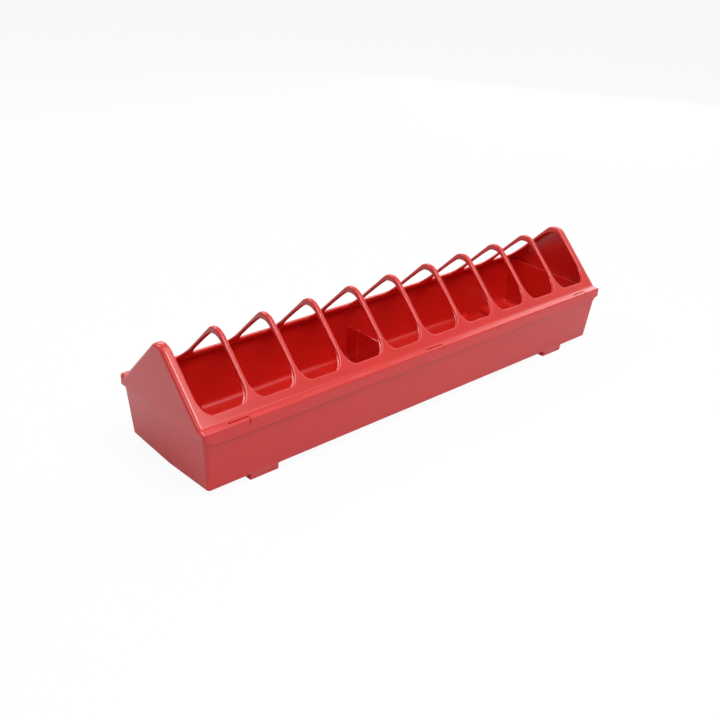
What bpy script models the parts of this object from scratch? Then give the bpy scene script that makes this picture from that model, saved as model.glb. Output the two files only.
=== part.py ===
"""Poultry feed trough: an open moulded tub under a push-fit grille lid.

Lengths are metres, +Z is up and +X runs along the trough. The origin lies on
the ground, under the middle of the feet. The lid lifts straight up along +Z.
"""
import math

import bmesh
import bpy

# Lid: overall size, walls and rounded edges
LID_LENGTH = 0.5000
LID_WIDTH = 0.1274
LID_WALL = 0.0018
BAND_WALL = 0.0023
SKIRT_BOTTOM = 0.0507
END_SKIRT_RISE = 0.0026
END_SKIRT_REACH = 0.0080
RIM_TOP = 0.0625
RIM_STRIP = 0.0076
RIM_TILT = math.radians(5.0)
RIM_EDGE_RADIUS = 0.0015
END_EDGE_RADIUS = 0.0036
ROOF_ANGLE = math.radians(45.1)
RIDGE_RADIUS = 0.0138

# Lid: the hoops and the bays between them
BAY_COUNT = 10
HOOP_WIDTH = 0.0048
HOOP_DEPTH = 0.0023
HOOP_CROWN = 0.0059
CROWN_POWER = 2.5
END_FLANGE = 0.0089
BAND_WIDTH = 0.0141
BAY_CORNER_RADIUS = 0.0095
HOOP_STEP_INSET = 0.0030

# Lid: slots in the rim, the slit at the end of each, and the holding beads under them
SLOT_FROM_END = 0.0335
SLOT_LENGTH = 0.0190
SLOT_WIDTH = 0.0014
SLOT_FROM_EDGE = 0.0040
SLIT_WIDTH = 0.0006
SLIT_DEPTH = 0.0040
BEAD_LENGTH = 0.0170
BEAD_HEIGHT = 0.0026
BEAD_DEPTH = 0.0010

# Tub: walls, draft, corners and fillets
TUB_WALL = 0.0020
FLOOR_WALL = 0.0016
WALL_DRAFT = math.radians(5.0)
CORNER_RADIUS_TOP = 0.0045
CORNER_RADIUS_BASE = 0.0030
KEEL_HEIGHT = 0.0029
FLOOR_TILT = math.radians(2.7)
BASE_FILLET = 0.0022
INNER_FILLET = 0.0036

# Tub: shoulder and lip under the lid's skirt
SHOULDER_BOTTOM = 0.0518
SHOULDER_HEIGHT = 0.0018
LIP_HEIGHT = 0.0031
LIP_DEPTH = 0.0008

# Tub: the two cross-feet and the middle partition
FOOT_FROM_END = 0.0614
FOOT_WIDTH = 0.0287
FOOT_WALL = 0.0020
FOOT_SET_IN = 0.0003
FOOT_EDGE = 0.0008
PARTITION_WALL = 0.0018
PARTITION_TOP = 0.0405
BOSS_RADIUS = 0.0020
BOSS_FROM_MIDDLE = 0.0425
BOSS_RISE = 0.0014

# Clearances between the two mouldings
SEAT_GAP = 0.0003
SKIRT_CLEARANCE = 0.0004
BEAD_CLEARANCE = 0.0003

# How finely the round stretches are divided
CORNER_STEPS = 4
RIDGE_STEPS = 8
CROWN_STEPS = 14
BAY_CORNER_STEPS = 5
BOSS_SIDES = 16
CUT_MARGIN = 0.0050

# Sizes that follow from the ones above
HALF_LENGTH = LID_LENGTH / 2
HALF_WIDTH = LID_WIDTH / 2
CREASE_Y = HALF_WIDTH - RIM_STRIP
TUB_HALF_LENGTH = HALF_LENGTH - LID_WALL - SKIRT_CLEARANCE
TUB_HALF_WIDTH = HALF_WIDTH - LID_WALL - SKIRT_CLEARANCE
LIP_INSET = BEAD_DEPTH + BEAD_CLEARANCE - SKIRT_CLEARANCE
NECK_INSET = LIP_INSET + LIP_DEPTH
BAY_HALF_DEPTH = HALF_WIDTH - BAND_WIDTH
BAY_PITCH = (LID_LENGTH - 2 * END_FLANGE + HOOP_WIDTH) / BAY_COUNT
BASE_HEIGHT = KEEL_HEIGHT + TUB_HALF_WIDTH * math.tan(FLOOR_TILT)


def rim_height(y):
    """Height of the rim's top face, which rises gently from its outer edge to the crease."""
    return RIM_TOP + (HALF_WIDTH - abs(y)) * math.tan(RIM_TILT)


def roof_height(y):
    """Height of the roof's outer slope, which starts from the rim at the crease."""
    return rim_height(CREASE_Y) + (CREASE_Y - abs(y)) * math.tan(ROOF_ANGLE)


RIDGE_TOP = roof_height(0.0) - RIDGE_RADIUS / math.cos(ROOF_ANGLE) + RIDGE_RADIUS
TUB_TOP = rim_height(HALF_WIDTH - LID_WALL - BEAD_DEPTH) - LID_WALL - SEAT_GAP
LIP_BOTTOM = TUB_TOP - LIP_HEIGHT
BEAD_TOP = LIP_BOTTOM - BEAD_CLEARANCE


def clear_scene():
    """Start from an empty scene."""
    for obj in list(bpy.data.objects):
        bpy.data.objects.remove(obj, do_unlink=True)


def plastic(name, colour):
    """Red moulded polypropylene with a soft gloss."""
    material = bpy.data.materials.new(name)
    material.use_nodes = True
    shader = material.node_tree.nodes["Principled BSDF"]
    shader.inputs["Base Color"].default_value = (*colour, 1.0)
    shader.inputs["Roughness"].default_value = 0.38
    shader.inputs["Metallic"].default_value = 0.0
    return material


def add_object(name, bm):
    """Turn a bmesh into an object of the scene, with its faces pointing out."""
    bmesh.ops.recalc_face_normals(bm, faces=bm.faces)
    mesh = bpy.data.meshes.new(name)
    bm.to_mesh(mesh)
    bm.free()
    obj = bpy.data.objects.new(name, mesh)
    bpy.context.scene.collection.objects.link(obj)
    return obj


def combine(target, tool, operation):
    """Join a hidden tool solid to the target, or cut it out of the target."""
    tool.hide_render = True
    tool.display_type = "WIRE"
    modifier = target.modifiers.new(tool.name, "BOOLEAN")
    modifier.operation = operation
    modifier.solver = "EXACT"
    modifier.object = tool


def loft(bm, rings):
    """Bridge rings of equally many points one after another and return their vertices."""
    loops = [[bm.verts.new(point) for point in ring] for ring in rings]
    for low, high in zip(loops, loops[1:]):
        for i in range(len(low)):
            j = (i + 1) % len(low)
            bm.faces.new((low[i], low[j], high[j], high[i]))
    return loops


def add_prism(bm, outline, start, end, place):
    """Closed prism: place(u, v, w) puts outline point (u, v) at depth w."""
    rings = [[place(u, v, w) for u, v in outline] for w in (start, end)]
    loops = loft(bm, rings)
    bm.faces.new(loops[0])
    bm.faces.new(loops[1])


def upright(u, v, w):
    """Outline seen from above, carried along Z."""
    return u, v, w


def crosswise(u, v, w):
    """Outline seen from the long side, carried along Y."""
    return u, w, v


def lengthwise(u, v, w):
    """Outline seen along the trough, carried along X."""
    return w, u, v


def rounded_rectangle(half_x, half_y, radius, steps):
    """Outline seen from above, with a point at the middle of each end for the keel."""
    points = [(half_x, 0.0)]
    for sign_x, sign_y, start in ((1, 1, 0), (-1, 1, 90), (-1, -1, 180), (1, -1, 270)):
        if start == 180:
            points.append((-half_x, 0.0))
        for step in range(steps + 1):
            angle = math.radians(start + 90 * step / steps)
            x = sign_x * (half_x - radius) + radius * math.cos(angle)
            y = sign_y * (half_y - radius) + radius * math.sin(angle)
            points.append((x, y))
    return points


def wall_half_sizes(z):
    """Half length and half width of the tub's outer wall, which narrows downwards by its draft."""
    drawn_in = max(0.0, SHOULDER_BOTTOM - z) * math.tan(WALL_DRAFT)
    return TUB_HALF_LENGTH - drawn_in, TUB_HALF_WIDTH - drawn_in


def floor_height(y):
    """Height of the tub's underside, a shallow V with its keel in the middle."""
    return KEEL_HEIGHT + abs(y) * math.tan(FLOOR_TILT)


def corner_radius(z):
    """Radius of the tub's upright corners, which tighten downwards."""
    share = min(1.0, max(0.0, z / SHOULDER_BOTTOM))
    return CORNER_RADIUS_BASE + (CORNER_RADIUS_TOP - CORNER_RADIUS_BASE) * share


def tub_ring(height, inset, on_floor):
    """One ring of the tub's skin, at a height above the floor's V or above the ground."""
    level = BASE_HEIGHT + height if on_floor else height
    half_x, half_y = wall_half_sizes(level)
    radius = max(corner_radius(level) - inset, CORNER_RADIUS_BASE / 3)
    ring = []
    for x, y in rounded_rectangle(half_x - inset, half_y - inset, radius, CORNER_STEPS):
        ring.append((x, y, floor_height(y) + height if on_floor else height))
    return ring


def tub_skin(name, wall, lift, fillet, upper_levels):
    """Closed solid from the floor's rounded edge up, its floor two flat halves that meet at the keel."""
    rings = []
    for step in range(CORNER_STEPS + 1):
        angle = math.radians(90 * step / CORNER_STEPS)
        inset = wall + fillet * (1 - math.sin(angle))
        rings.append(tub_ring(lift + fillet * (1 - math.cos(angle)), inset, True))
    for height, inset in upper_levels:
        rings.append(tub_ring(height, wall + inset, False))
    bm = bmesh.new()
    loops = loft(bm, rings)
    bottom = loops[0]
    far_end = len(bottom) // 2
    bm.faces.new(bottom[:far_end + 1])
    bm.faces.new(bottom[far_end:] + bottom[:1])
    bm.faces.new(loops[-1])
    return add_object(name, bm)


def tub_outside():
    """Outer skin of the tub: floor edge, drafted wall, shoulder, neck and lip."""
    levels = (
        (SHOULDER_BOTTOM, 0.0),
        (SHOULDER_BOTTOM + SHOULDER_HEIGHT, NECK_INSET),
        (LIP_BOTTOM, NECK_INSET),
        (LIP_BOTTOM, LIP_INSET),
        (TUB_TOP, LIP_INSET),
    )
    return tub_skin("trough", 0.0, 0.0, BASE_FILLET, levels)


def tub_hollow():
    """The space inside the tub, carried up past its top."""
    levels = (
        (SHOULDER_BOTTOM, 0.0),
        (SHOULDER_BOTTOM + SHOULDER_HEIGHT, NECK_INSET),
        (TUB_TOP + CUT_MARGIN, NECK_INSET),
    )
    return tub_skin("tub_hollow", TUB_WALL, FLOOR_WALL, INNER_FILLET, levels)


def foot_solid(name, centre_x):
    """Cross-foot, flush with the long walls and eased along its bottom edges."""
    top = BASE_HEIGHT + BASE_FILLET
    bm = bmesh.new()
    rings = []
    for height, inset in ((0.0, FOOT_EDGE), (FOOT_EDGE, 0.0), (top, 0.0)):
        half_y = wall_half_sizes(height)[1] - FOOT_SET_IN - inset
        outline = rounded_rectangle(FOOT_WIDTH / 2 - inset, half_y, FOOT_EDGE, CORNER_STEPS)
        rings.append([(centre_x + x, y, height) for x, y in outline])
    loops = loft(bm, rings)
    bm.faces.new(loops[0])
    bm.faces.new(loops[-1])
    return add_object(name, bm)


def foot_hollow(name, centre_x):
    """Channel inside a cross-foot, open to the inside of the tub."""
    half_y = wall_half_sizes(0.0)[1] - FOOT_WALL - FOOT_EDGE
    outline = rounded_rectangle(FOOT_WIDTH / 2 - FOOT_WALL, half_y, FOOT_EDGE, CORNER_STEPS)
    outline = [(centre_x + x, y) for x, y in outline]
    top = floor_height(half_y) + FLOOR_WALL + FOOT_WALL
    bm = bmesh.new()
    add_prism(bm, outline, FOOT_WALL, top, upright)
    return add_object(name, bm)


def partition_plate():
    """Plate across the middle of the tub, rooted half way into the walls and the floor."""
    root = TUB_WALL / 2
    base_y = wall_half_sizes(BASE_HEIGHT)[1] - BASE_FILLET - root
    wall_z = BASE_HEIGHT + BASE_FILLET + root
    wall_y = wall_half_sizes(wall_z)[1] - root
    top_y = wall_half_sizes(PARTITION_TOP)[1] - root
    half = [
        (base_y, floor_height(base_y) + FLOOR_WALL / 2),
        (wall_y, wall_z),
        (top_y, PARTITION_TOP),
    ]
    outline = [(0.0, KEEL_HEIGHT + FLOOR_WALL / 2)] + half + [(-y, z) for y, z in reversed(half)]
    bm = bmesh.new()
    add_prism(bm, outline, -PARTITION_WALL / 2, PARTITION_WALL / 2, lengthwise)
    return add_object("partition_plate", bm)


def partition_bosses():
    """Two round bosses on the partition, a little taller than the plate."""
    bm = bmesh.new()
    for side in (-1, 1):
        centre_y = side * BOSS_FROM_MIDDLE
        angles = [2 * math.pi * (step + 0.5) / BOSS_SIDES for step in range(BOSS_SIDES)]
        outline = [(BOSS_RADIUS * math.cos(a), centre_y + BOSS_RADIUS * math.sin(a)) for a in angles]
        foot = floor_height(centre_y) + FLOOR_WALL / 2
        add_prism(bm, outline, foot, PARTITION_TOP + BOSS_RISE, upright)
    return add_object("partition_bosses", bm)


def meet(line_a, line_b):
    """Point where two lines cross, each given as a point and a direction."""
    (ax, ay), (adx, ady) = line_a
    (bx, by), (bdx, bdy) = line_b
    t = ((bx - ax) * bdy - (by - ay) * bdx) / (adx * bdy - ady * bdx)
    return ax + t * adx, ay + t * ady


def rim_line(inset):
    """The rim's top face, moved inwards."""
    start = (HALF_WIDTH, RIM_TOP - inset / math.cos(RIM_TILT))
    return start, (-math.cos(RIM_TILT), math.sin(RIM_TILT))


def slope_line(inset):
    """The roof's slope, moved inwards."""
    start = (CREASE_Y, roof_height(CREASE_Y) - inset / math.cos(ROOF_ANGLE))
    return start, (-math.cos(ROOF_ANGLE), math.sin(ROOF_ANGLE))


def rim_edge(inset):
    """Rounded edge between skirt and rim, as three points of an arc."""
    skirt = (HALF_WIDTH - inset, 0.0), (0.0, 1.0)
    corner_y, corner_z = meet(skirt, rim_line(inset))
    radius = max(RIM_EDGE_RADIUS - inset, RIM_EDGE_RADIUS / 5)
    middle = radius * (1 - math.sqrt(0.5))
    return [
        (corner_y, corner_z - radius),
        (corner_y - middle, corner_z - middle),
        (corner_y - radius, corner_z + radius * math.tan(RIM_TILT)),
    ]


def ridge_arc(inset):
    """Round ridge from the +Y slope to the -Y slope, moved inwards."""
    radius = RIDGE_RADIUS - inset
    centre = roof_height(0.0) - RIDGE_RADIUS / math.cos(ROOF_ANGLE)
    points = []
    for step in range(RIDGE_STEPS + 1):
        angle = ROOF_ANGLE * (1 - 2 * step / RIDGE_STEPS)
        points.append((radius * math.sin(angle), centre + radius * math.cos(angle)))
    return points


def crown_curve(reach, depth):
    """Underside of the hoops from y = reach to -reach: two slopes that run into a soft crown."""
    arch = roof_height(0.0) - RIDGE_TOP + HOOP_CROWN - HOOP_DEPTH / math.cos(ROOF_ANGLE)
    apex = roof_height(0.0) - depth / math.cos(ROOF_ANGLE)
    points = []
    for step in range(CROWN_STEPS + 1):
        y = reach * (1 - 2 * step / CROWN_STEPS)
        fall = abs(y) * math.tan(ROOF_ANGLE)
        points.append((y, apex - (fall ** CROWN_POWER + arch ** CROWN_POWER) ** (1 / CROWN_POWER)))
    return points


def end_skirt_cutters():
    """Wedges that raise the skirt's bottom edge at both ends and round the corners."""
    inner = HALF_LENGTH - END_SKIRT_REACH
    beyond = HALF_LENGTH + CUT_MARGIN
    below = SKIRT_BOTTOM - CUT_MARGIN
    top = SKIRT_BOTTOM + END_SKIRT_RISE
    outline = [(inner, below), (beyond, below), (beyond, top),
               (inner + END_SKIRT_RISE, top), (inner, SKIRT_BOTTOM)]
    bm = bmesh.new()
    for side in (-1, 1):
        reach = HALF_WIDTH + CUT_MARGIN
        add_prism(bm, [(side * x, z) for x, z in outline], -reach, reach, crosswise)
    return add_object("end_skirt_cutters", bm)


def mirrored(half, middle):
    """Whole outline from its +Y half, the round middle and the half's mirror image."""
    return half + middle + [(-y, z) for y, z in reversed(half)]


def lid_outline(inset):
    """Section of the lid's outer surface, from one skirt over the ridge to the other."""
    half = [(HALF_WIDTH - inset, SKIRT_BOTTOM)] + rim_edge(inset)
    half.append(meet(rim_line(inset), slope_line(inset)))
    return mirrored(half, ridge_arc(inset))


def hollow_outline(inset):
    """Section of the space under the lid: skirts, rims, the band's slopes and the hoops' undersides."""
    wall = LID_WALL + inset
    half = [(HALF_WIDTH - wall, SKIRT_BOTTOM - CUT_MARGIN)] + rim_edge(wall)
    half.append(meet(rim_line(wall), slope_line(BAND_WALL + inset)))
    half.append(meet(((BAY_HALF_DEPTH, 0.0), (0.0, 1.0)), slope_line(BAND_WALL + inset)))
    return mirrored(half, crown_curve(BAY_HALF_DEPTH - HOOP_STEP_INSET, HOOP_DEPTH + inset))


def lid_skin(name, outline, half_length, edge_radius):
    """Closed solid: the section carried along X, drawn in at both ends to round their edges."""
    rings = []
    for side in (-1, 1):
        steps = range(CORNER_STEPS, -1, -1) if side < 0 else range(CORNER_STEPS + 1)
        for step in steps:
            angle = math.radians(90 * step / CORNER_STEPS)
            x = half_length - edge_radius * (1 - math.sin(angle))
            inset = edge_radius * (1 - math.cos(angle))
            rings.append([(side * x, y, z) for y, z in outline(inset)])
    bm = bmesh.new()
    loops = loft(bm, rings)
    bm.faces.new(loops[0])
    bm.faces.new(loops[-1])
    return add_object(name, bm)


def bay_cutters():
    """Upright cutters with rounded corners that leave the hoops standing between them."""
    half_bay = (BAY_PITCH - HOOP_WIDTH) / 2
    plan = rounded_rectangle(half_bay, BAY_HALF_DEPTH, BAY_CORNER_RADIUS, BAY_CORNER_STEPS)
    bm = bmesh.new()
    for index in range(BAY_COUNT):
        centre = (index - (BAY_COUNT - 1) / 2) * BAY_PITCH
        outline = [(centre + x, y) for x, y in plan]
        add_prism(bm, outline, RIM_TOP, RIDGE_TOP + CUT_MARGIN, upright)
    return add_object("bay_cutters", bm)


def tab_centres():
    """Places of the holding tabs along the lid: the middle and near both ends."""
    reach = HALF_LENGTH - SLOT_FROM_END
    return -reach, 0.0, reach


def tab_cutters():
    """L-shaped cutters: a slot in the rim, and a slit from its end out through the skirt."""
    inner = HALF_WIDTH - SLOT_FROM_EDGE - SLOT_WIDTH / 2
    outer = inner + SLOT_WIDTH
    beyond = HALF_WIDTH + CUT_MARGIN
    bm = bmesh.new()
    for centre in tab_centres():
        start = centre - SLOT_LENGTH / 2
        end = centre + SLOT_LENGTH / 2
        outline = [(start, inner), (end, inner), (end, beyond), (end - SLIT_WIDTH, beyond),
                   (end - SLIT_WIDTH, outer), (start, outer)]
        for side in (-1, 1):
            plan = [(x, side * y) for x, y in outline]
            add_prism(bm, plan, RIM_TOP - SLIT_DEPTH, RIM_TOP + CUT_MARGIN, upright)
    return add_object("tab_cutters", bm)


def holding_beads():
    """Beads inside the skirt that reach in under the tub's lip, rooted in the skirt's wall."""
    root = HALF_WIDTH - LID_WALL / 2
    face = HALF_WIDTH - LID_WALL
    bottom = BEAD_TOP - BEAD_HEIGHT
    section = [
        (root, bottom),
        (face, bottom),
        (face - BEAD_DEPTH, BEAD_TOP - BEAD_DEPTH),
        (face - BEAD_DEPTH, BEAD_TOP),
        (root, BEAD_TOP),
    ]
    bm = bmesh.new()
    for centre in tab_centres():
        for side in (-1, 1):
            outline = [(side * y, z) for y, z in section]
            add_prism(bm, outline, centre - BEAD_LENGTH / 2, centre + BEAD_LENGTH / 2, lengthwise)
    return add_object("holding_beads", bm)


def build_trough():
    """The tub with its feet, partition and lip, one moulding."""
    trough = tub_outside()
    foot_x = HALF_LENGTH - FOOT_FROM_END
    for side, centre in (("left", -foot_x), ("right", foot_x)):
        combine(trough, foot_solid("foot_" + side, centre), "UNION")
    combine(trough, tub_hollow(), "DIFFERENCE")
    for side, centre in (("left", -foot_x), ("right", foot_x)):
        combine(trough, foot_hollow("foot_channel_" + side, centre), "DIFFERENCE")
    combine(trough, partition_plate(), "UNION")
    combine(trough, partition_bosses(), "UNION")
    trough.data.materials.append(plastic("trough_polypropylene", (0.50, 0.028, 0.024)))
    return trough


def build_lid():
    """The grille lid with its rim, gables, hoops and holding tabs, one moulding."""
    lid = lid_skin("grille_lid", lid_outline, HALF_LENGTH, END_EDGE_RADIUS)
    hollow = lid_skin("lid_hollow", hollow_outline, HALF_LENGTH - LID_WALL, END_EDGE_RADIUS - LID_WALL)
    combine(lid, hollow, "DIFFERENCE")
    combine(lid, bay_cutters(), "DIFFERENCE")
    combine(lid, end_skirt_cutters(), "DIFFERENCE")
    combine(lid, tab_cutters(), "DIFFERENCE")
    combine(lid, holding_beads(), "UNION")
    lid.data.materials.append(plastic("lid_polypropylene", (0.60, 0.050, 0.045)))
    return lid


def main():
    clear_scene()
    build_trough()
    build_lid()


main()
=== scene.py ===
"""Looks of a poultry feed trough: a red moulded tub under a push-fit grille lid."""
import math

import bmesh
import bpy
import numpy as np
from mathutils import Matrix, Vector


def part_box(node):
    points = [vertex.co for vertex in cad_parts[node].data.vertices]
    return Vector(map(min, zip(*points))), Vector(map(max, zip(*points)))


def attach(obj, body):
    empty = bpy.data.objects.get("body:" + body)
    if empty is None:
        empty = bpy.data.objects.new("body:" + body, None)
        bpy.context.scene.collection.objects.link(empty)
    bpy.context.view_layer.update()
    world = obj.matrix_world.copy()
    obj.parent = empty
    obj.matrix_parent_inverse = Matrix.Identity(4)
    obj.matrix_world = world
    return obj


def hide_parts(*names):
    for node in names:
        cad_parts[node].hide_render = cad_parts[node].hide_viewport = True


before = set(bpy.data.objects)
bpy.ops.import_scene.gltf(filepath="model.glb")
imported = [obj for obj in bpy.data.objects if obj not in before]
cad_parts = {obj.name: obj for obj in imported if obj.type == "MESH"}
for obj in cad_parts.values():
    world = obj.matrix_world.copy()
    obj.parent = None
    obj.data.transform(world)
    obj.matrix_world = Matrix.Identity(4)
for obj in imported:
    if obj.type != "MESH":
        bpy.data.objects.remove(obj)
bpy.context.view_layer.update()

bl_info = {
    "name": "Poultry feed trough",
    "version": (1, 0, 0),
    "blender": (4, 5, 0),
    "location": "View3D > Sidebar > Feed trough",
    "description": "Builds a moulded feed trough with its grille lid, ready to render",
    "category": "Add Mesh",
}

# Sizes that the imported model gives; lengths are in metres throughout
LID_LOW, LID_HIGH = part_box("grille_lid")
TUB_LOW, TUB_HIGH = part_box("trough")
HALF_LENGTH = LID_HIGH.x
HALF_WIDTH = LID_HIGH.y
SKIRT_BOTTOM = LID_LOW.z
TUB_HALF_LENGTH = TUB_HIGH.x
TUB_HALF_WIDTH = TUB_HIGH.y
TUB_TOP = TUB_HIGH.z

# Meshes
MERGE_DISTANCE = 1e-6                 # points closer than this are one
SAME_DECIMALS = 9                     # x values that agree to this many decimals are one column
SHARP_ANGLE = math.radians(38.0)      # edges that bend more than this stay sharp
CUT_REACH = 0.005                     # how far the slots' cutters go past the lid
HOLLOW_REACH = 0.002                  # how far the tub's hollow goes past its top
CHANNEL_GAP = 0.00002                 # keeps a foot's hollow off the faces of the tub's hollow

# Fine shapes of the lid
CROWN_POWER = 2.5                     # power of the mean that rounds the hoops' crown inside
HOOP_RUN = 0.005                      # width over which the band's thickness turns into the hoops'
CELL_MARGIN = 0.0036                  # from the openings' fronts to the border of their cells
EDGE_MARGIN = 0.0003                  # from an edge's arc to the last row on the skin beside it
LEAST_RADIUS = 0.0003                 # smallest radius of the edge between rim and skirt
LIP_RADIUS = 0.0005                   # how far the skirt's rounded bottom reaches down

# Rows and points of the lid's grids
SKIRT_ROWS = 5
RIM_EDGE_POINTS = 7
RIM_STEPS = 4
CREASE_POINTS = 6
RIDGE_POINTS = 13
SLOPE_STEPS = 8
CORNER_POINTS = 12
FRONT_STEPS = 3
CELL_ROWS = 5
HOOP_EDGE_POINTS = 9
INNER_EDGE_POINTS = 4
BAY_WALL_POINTS = 4
END_STEPS = 8
LIP_POINTS = 7

# Fine shapes of the tub
SHOULDER_EASE = 0.0002                # size of the small slants that ease the shoulder and the lip
SHOULDER_LEAD = 0.001                 # from the last plain row of the walls to the shoulder
ARC_MIDDLE = 0.3                      # middle of a quarter arc from its ends, as a share of its radius
NECK_START = 0.4                      # share of its height at which the wall starts to thicken
LEAST_CORNER = 1 / 3                  # smallest upright corner, as a share of the lower corner's radius
BOSS_EASE = 0.4                       # radius of a boss's top edge, as a share of the boss's own

# Rows and points of the tub's grids
BASE_EDGE_POINTS = 11
TUB_CORNER_STEPS = 8
NECK_ROWS = 12
FOOT_EDGE_POINTS = 5
FOOT_CORNER_STEPS = 4
PARTITION_TOP_POINTS = 9
BOSS_EDGE_POINTS = 5
BOSS_SIDES = 32

# The plastic
PLASTIC_IOR = 1.53
FLOW_SIZE = 0.025                     # width of the clouds that the melt's flow leaves
FLOW_STRETCH = (0.4, 1.0, 1.0)        # the clouds are drawn out along the trough
GRAIN_SIZE = 0.0006                   # the mould's texture, drawn coarse enough to show
GRAIN_DEPTH = 0.0002
GRAIN_STRENGTH = 0.06
WAVE_SIZE = 0.030                     # the flats' waves from shrinkage
WAVE_DEPTH = 0.001
WAVE_STRENGTH = 0.12
GLOSS_SPREAD = 0.03                   # how much the roughness varies to either side

# The photograph's camera
CAMERA_AZIMUTH = math.radians(-43.043)
CAMERA_ELEVATION = math.radians(26.621)
CAMERA_ROLL = math.radians(2.924)
CAMERA_TARGET = Vector((-0.03561, 0.0, 0.03612))
CAMERA_DISTANCE = 0.88711
CAMERA_LENS = 47.18
SENSOR_WIDTH = 36.0
CLIP_START = 0.01
CLIP_END = 50.0

# The floor and the light
WHITE = (1.0, 1.0, 1.0, 1.0)
FLOOR_REACH = 6.0                     # half the floor's side
FLOOR_DROP = 0.00005                  # how far the floor lies under the feet
FLOOR_WHITE = 0.94                    # share of plain white in the floor that the camera sees
FLOOR_IN_GLOSS = 0.15                 # part of that share that the plastic's gloss shows
WORLD_LEVEL = 0.03                    # strength of the even light from all round
LAMPS = (
    # name, azimuth and elevation in degrees, distance, size and power
    ("front_softbox", 0.0, 56.0, 1.2, 0.45, 7.4),
    ("high_right_softbox", 40.0, 76.0, 1.6, 0.9, 7.0),
    ("overhead_softbox", 0.0, 88.0, 1.6, 0.6, 2.0),
    ("right_softbox", 96.0, 22.0, 1.6, 1.1, 4.0),
    ("back_right_softbox", 122.0, 17.0, 1.6, 0.9, 5.0),
    ("back_softbox", 165.0, 35.0, 1.6, 0.6, 3.4),
    ("back_left_softbox", -140.0, 45.0, 1.6, 0.6, 5.2),
    ("left_softbox", -70.0, 58.0, 1.6, 0.6, 2.4),
    ("left_spot", -67.0, 32.0, 1.6, 0.12, 1.6),
    ("back_left_spot", -153.0, 43.0, 1.6, 0.12, 1.6),
    ("back_right_spot", 137.0, 27.0, 1.6, 0.12, 0.5),
)


# What a user may change
def linear(code):
    """Linear colour with alpha from an sRGB hex value."""
    channels = [int(code[i:i + 2], 16) / 255 for i in (1, 3, 5)]
    return [c / 12.92 if c <= 0.04045 else ((c + 0.055) / 1.055) ** 2.4 for c in channels] + [1.0]


def length(name, default, description):
    """Property for a size in metres."""
    return bpy.props.FloatProperty(name=name, description=description, default=default, min=0.0,
                                   unit="LENGTH", precision=5)


def angle(name, degrees, description):
    """Property for an angle."""
    return bpy.props.FloatProperty(name=name, description=description, default=math.radians(degrees),
                                   subtype="ANGLE")


def colour(name, code, description):
    """Property for a colour, given as an sRGB hex value."""
    return bpy.props.FloatVectorProperty(name=name, description=description, default=linear(code),
                                         size=4, min=0.0, max=1.0, subtype="COLOR")


class TroughLidSizes(bpy.types.PropertyGroup):
    """Sizes of the grille lid"""
    wall: length("Wall", 0.0018, "Thickness of the skirt, the rim and the gables")
    band_wall: length("Band wall", 0.0023, "Thickness of the sloping band along the openings")
    rim_top: length("Rim height", 0.0625, "Height of the rim's outer edge above the ground")
    rim_strip: length("Rim strip", 0.0076, "Width of the flat rim from its edge to the crease")
    rim_tilt: angle("Rim tilt", 5.0, "How much the rim's top rises towards the crease")
    rim_edge: length("Rim edge", 0.0015, "Radius of the edge between rim and skirt")
    crease: length("Crease radius", 0.0045, "Radius of the hollow crease between rim and roof")
    roof_angle: angle("Roof angle", 45.1, "Slope of the two roof faces")
    ridge: length("Ridge radius", 0.0138, "Outer radius of the ridge over each hoop")
    crown: length("Crown", 0.0059, "Thickness of a hoop at the ridge, where it is thickest")
    end_edge: length("End edge radius", 0.0036, "Radius of the edges round both gables")
    end_rise: length("End skirt rise", 0.0026, "How much shorter the skirt is at the ends and corners")
    end_reach: length("End skirt reach", 0.0080, "How far from the ends the shorter skirt goes")
    end_flange: length("End flange", 0.0089, "Width of the roof strip along each gable")
    band: length("Band width", 0.0141, "Distance from the lid's side to the openings, seen from above")
    hoop_width: length("Hoop width", 0.0048, "Width of a hoop, seen from the long side")
    hoop_depth: length("Hoop depth", 0.0023, "Thickness of a hoop's legs")
    bay_corner: length("Bay corner", 0.0095, "How far an opening's corners reach along the trough")
    bay_flare: length("Bay flare", 0.0120, "How far an opening's corners reach up the roof")
    corner_taper: length("Corner taper", 0.0030, "How much more the corners reach on the inner skin")
    hoop_edge: length("Hoop edge", 0.0017, "Radius of the outer edges round every opening")
    inner_edge: length("Inner edge", 0.0005, "Radius of the inner edges round every opening")
    bays: bpy.props.IntProperty(name="Bays", description="How many openings the hoops leave",
                                default=10, min=1)


class TroughTabSizes(bpy.types.PropertyGroup):
    """Sizes of the holding tabs along the rim"""
    from_end: length("From end", 0.0335, "Distance of the outer tabs from the lid's ends")
    slot: length("Slot length", 0.0190, "Length of the slot in the rim")
    slot_width: length("Slot width", 0.0014, "Width of the slot in the rim")
    slot_inset: length("Slot inset", 0.0040, "Distance from the lid's side to the slot's middle")
    slit_width: length("Slit width", 0.0007, "Width of the slit at the slot's end")
    slit_depth: length("Slit depth", 0.0040, "How far the slit goes down through the skirt")
    bead: length("Bead length", 0.0170, "Length of the bead inside the skirt")
    bead_height: length("Bead height", 0.0026, "Height of the bead inside the skirt")
    bead_depth: length("Bead depth", 0.0010, "How far the bead stands out from the skirt")
    bead_top: length("Bead top", 0.0571, "Height of the bead's upper face above the ground")


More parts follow.
